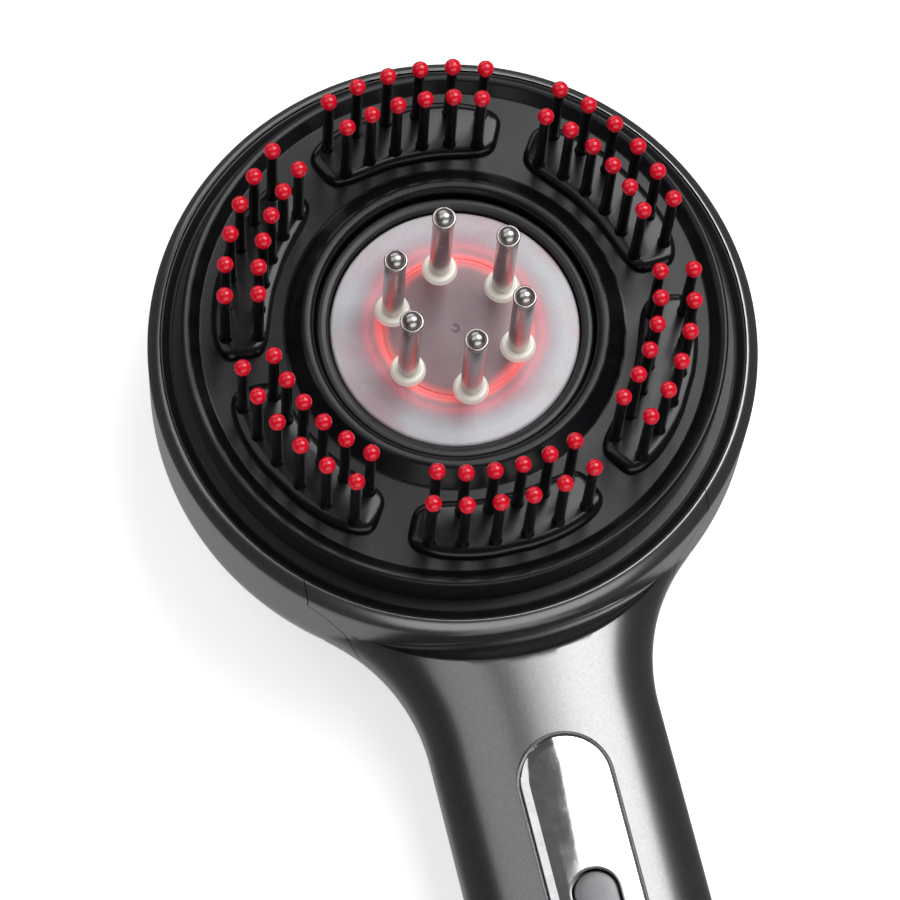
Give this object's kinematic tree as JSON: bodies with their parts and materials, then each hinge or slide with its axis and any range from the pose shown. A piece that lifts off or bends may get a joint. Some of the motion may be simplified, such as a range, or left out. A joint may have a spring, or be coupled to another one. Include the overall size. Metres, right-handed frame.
{
  "type": "scalp massager brush",
  "caption": "Handheld scalp massager with a round head of bristle pads around an oil applicator disc of ball-tipped pins, on a straight handle with a mirror inlay and power button.",
  "frame": {"origin": "centre of the head's flat back, where the brush rests on a table", "axes": "+Z out of the bristle face, -Y along the handle towards its tail, +X to the right seen from the tail with the bristles up"},
  "size_m": [0.0888, 0.2106, 0.0546],
  "materials": {
    "gunmetal": "satin gunmetal lacquer on moulded ABS",
    "black_silicone": "satin moulded silicone, bristle tips dyed red",
    "black_plastic": "satin",
    "grey_plastic": "satin",
    "frosted_disc": "frosted translucent white",
    "red_light": "clear red light guide, lit",
    "clear_plastic": "clear polycarbonate",
    "polished_steel": "polished stainless steel",
    "chrome": "mirror",
    "acetal": "natural acetal",
    "circuit_green": "solder-masked circuit board",
    "cell_wrap": null
  },
  "bodies": {
    "housing": {"rear_housing": "gunmetal", "front_housing": "gunmetal", "face_bezel": "black_plastic", "face_membrane": "black_silicone", "cartridge_socket": "black_plastic", "chassis": "black_plastic", "guide_plate": "grey_plastic", "gear_motor": "polished_steel", "light_guide": "red_light", "led_board": "circuit_green", "main_board": "circuit_green", "tact_switch": "black_plastic", "battery": "cell_wrap", "charging_port": "polished_steel", "chrome_inlay": "chrome", "button_ring": "chrome", "screw_head_left": "polished_steel", "screw_head_right": "polished_steel", "screw_neck": "polished_steel", "screw_tail": "polished_steel"},
    "scroll_ring": {"scroll_ring": "acetal"},
    "drive_pinion": {"drive_pinion": "acetal"},
    "cartridge": {"applicator_disc": "frosted_disc", "oil_reservoir": "clear_plastic", "cartridge_seal": "black_silicone", "pin_tube_1": "polished_steel", "pin_tube_2": "polished_steel", "pin_tube_3": "polished_steel", "pin_tube_4": "polished_steel", "pin_tube_5": "polished_steel", "pin_tube_6": "polished_steel"},
    "power_button": {"power_button": "grey_plastic"},
    "port_plug": {"port_plug": "black_silicone"},
    "pad_unit_1": {"pad_1": "black_silicone", "pad_carrier_1": "acetal"},
    "ball_1": {"pin_ball_1": "chrome"},
    "pad_unit_2": {"pad_2": "black_silicone", "pad_carrier_2": "acetal"},
    "ball_2": {"pin_ball_2": "chrome"},
    "pad_unit_3": {"pad_3": "black_silicone", "pad_carrier_3": "acetal"},
    "ball_3": {"pin_ball_3": "chrome"},
    "pad_unit_4": {"pad_4": "black_silicone", "pad_carrier_4": "acetal"},
    "ball_4": {"pin_ball_4": "chrome"},
    "pad_unit_5": {"pad_5": "black_silicone", "pad_carrier_5": "acetal"},
    "ball_5": {"pin_ball_5": "chrome"},
    "pad_unit_6": {"pad_6": "black_silicone", "pad_carrier_6": "acetal"},
    "ball_6": {"pin_ball_6": "chrome"}
  },
  "joints": [
    {"name": "scroll_ring_turn", "type": "hinge", "parent": "housing", "child": "scroll_ring", "pos_m": [0, 0, 0.017], "axis": [0, 0, 1], "range_deg": [-12, 12]},
    {"name": "pinion_spin", "type": "hinge", "parent": "housing", "child": "drive_pinion", "pos_m": [0, 0.02, 0.017], "axis": [0, 0, 1], "range_deg": [-72.5, 72.5]},
    {"name": "pad_slide_1", "type": "slide", "parent": "housing", "child": "pad_unit_1", "axis": [0, -1, 0], "range_m": [-0.00126, 0.00126]},
    {"name": "pad_slide_2", "type": "slide", "parent": "housing", "child": "pad_unit_2", "axis": [0.866, -0.5, 0], "range_m": [-0.00126, 0.00126]},
    {"name": "pad_slide_3", "type": "slide", "parent": "housing", "child": "pad_unit_3", "axis": [0.866, 0.5, 0], "range_m": [-0.00126, 0.00126]},
    {"name": "pad_slide_4", "type": "slide", "parent": "housing", "child": "pad_unit_4", "axis": [0, 1, 0], "range_m": [-0.00126, 0.00126]},
    {"name": "pad_slide_5", "type": "slide", "parent": "housing", "child": "pad_unit_5", "axis": [-0.866, 0.5, 0], "range_m": [-0.00126, 0.00126]},
    {"name": "pad_slide_6", "type": "slide", "parent": "housing", "child": "pad_unit_6", "axis": [-0.866, -0.5, 0], "range_m": [-0.00126, 0.00126]},
    {"name": "cartridge_lift", "type": "slide", "parent": "housing", "child": "cartridge", "axis": [0, 0, 1], "range_m": [0, 0.02]},
    {"name": "ball_press_1", "type": "slide", "parent": "cartridge", "child": "ball_1", "axis": [0, 0, -1], "range_m": [0, 0.0004], "stiffness_N_per_m": 60, "springref_m": -0.0002},
    {"name": "ball_press_2", "type": "slide", "parent": "cartridge", "child": "ball_2", "axis": [0, 0, -1], "range_m": [0, 0.0004], "stiffness_N_per_m": 60, "springref_m": -0.0002},
    {"name": "ball_press_3", "type": "slide", "parent": "cartridge", "child": "ball_3", "axis": [0, 0, -1], "range_m": [0, 0.0004], "stiffness_N_per_m": 60, "springref_m": -0.0002},
    {"name": "ball_press_4", "type": "slide", "parent": "cartridge", "child": "ball_4", "axis": [0, 0, -1], "range_m": [0, 0.0004], "stiffness_N_per_m": 60, "springref_m": -0.0002},
    {"name": "ball_press_5", "type": "slide", "parent": "cartridge", "child": "ball_5", "axis": [0, 0, -1], "range_m": [0, 0.0004], "stiffness_N_per_m": 60, "springref_m": -0.0002},
    {"name": "ball_press_6", "type": "slide", "parent": "cartridge", "child": "ball_6", "axis": [0, 0, -1], "range_m": [0, 0.0004], "stiffness_N_per_m": 60, "springref_m": -0.0002},
    {"name": "button_press", "type": "slide", "parent": "housing", "child": "power_button", "axis": [0, 0, -1], "range_m": [0, 0.0006], "stiffness_N_per_m": 800, "springref_m": -0.0002},
    {"name": "plug_pull", "type": "slide", "parent": "housing", "child": "port_plug", "axis": [0, -1, 0], "range_m": [0, 0.006]}
  ],
  "couplings": [
    {"joint": "pinion_spin", "follows": "scroll_ring_turn", "ratio": 6},
    {"joint": "pad_slide_1", "follows": "scroll_ring_turn", "m_per_rad": 0.0059683},
    {"joint": "pad_slide_2", "follows": "scroll_ring_turn", "m_per_rad": 0.0059683},
    {"joint": "pad_slide_3", "follows": "scroll_ring_turn", "m_per_rad": 0.0059683},
    {"joint": "pad_slide_4", "follows": "scroll_ring_turn", "m_per_rad": 0.0059683},
    {"joint": "pad_slide_5", "follows": "scroll_ring_turn", "m_per_rad": 0.0059683},
    {"joint": "pad_slide_6", "follows": "scroll_ring_turn", "m_per_rad": 0.0059683}
  ]
}
